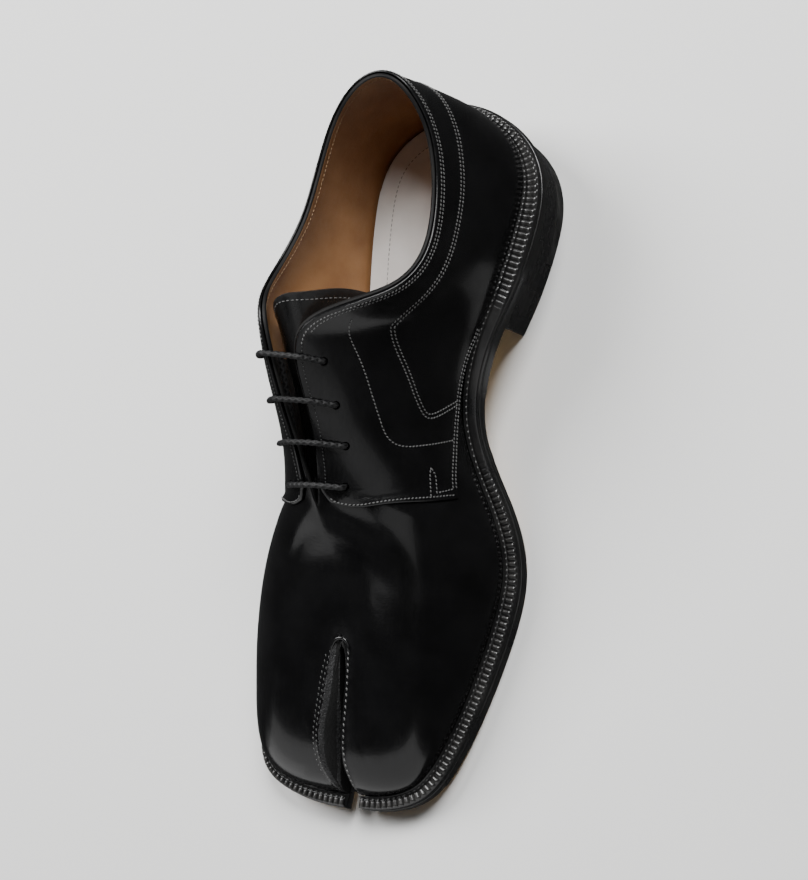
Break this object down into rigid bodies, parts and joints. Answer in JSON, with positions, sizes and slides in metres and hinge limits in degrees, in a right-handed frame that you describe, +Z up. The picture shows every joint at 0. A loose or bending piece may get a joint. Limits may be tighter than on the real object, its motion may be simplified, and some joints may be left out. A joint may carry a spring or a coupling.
{
  "type": "split-toe lace-up shoe",
  "caption": "Left leather lace-up shoe with a cleft toe, open-laced quarters, raised welt, leather sole and low stacked heel.",
  "frame": {"origin": "middle of the outsole's outline, on the floor the shoe stands on", "axes": "+Z up; the toe points to -Y and the heel to +Y; the outer side of the foot is on +X"},
  "size_m": [0.1072, 0.2866, 0.0987],
  "materials": {
    "tan_sole_leather": "smooth vegetable-tanned sole leather",
    "black_welt": "black dyed edge",
    "black_heel": "black polished heel stack",
    "tan_lift_leather": "smooth sole leather",
    "black_rubber": "matte rubber",
    "insole_sock": "pale leather sock",
    "black_brushed_leather": "high-shine brushed leather",
    "black_quarter_leather": "high-shine brushed leather",
    "black_tongue_leather": "smooth leather",
    "black_waxed_lace": "waxed round cotton"
  },
  "bodies": {
    "root": {"outsole": "tan_sole_leather", "welt": "black_welt", "heel_stack": "black_heel", "heel_lift_leather": "tan_lift_leather", "heel_lift_rubber": "black_rubber", "insole": "insole_sock", "upper": "black_brushed_leather", "quarters": "black_quarter_leather", "tongue": "black_tongue_leather", "lace": "black_waxed_lace"}
  },
  "joints": []
}
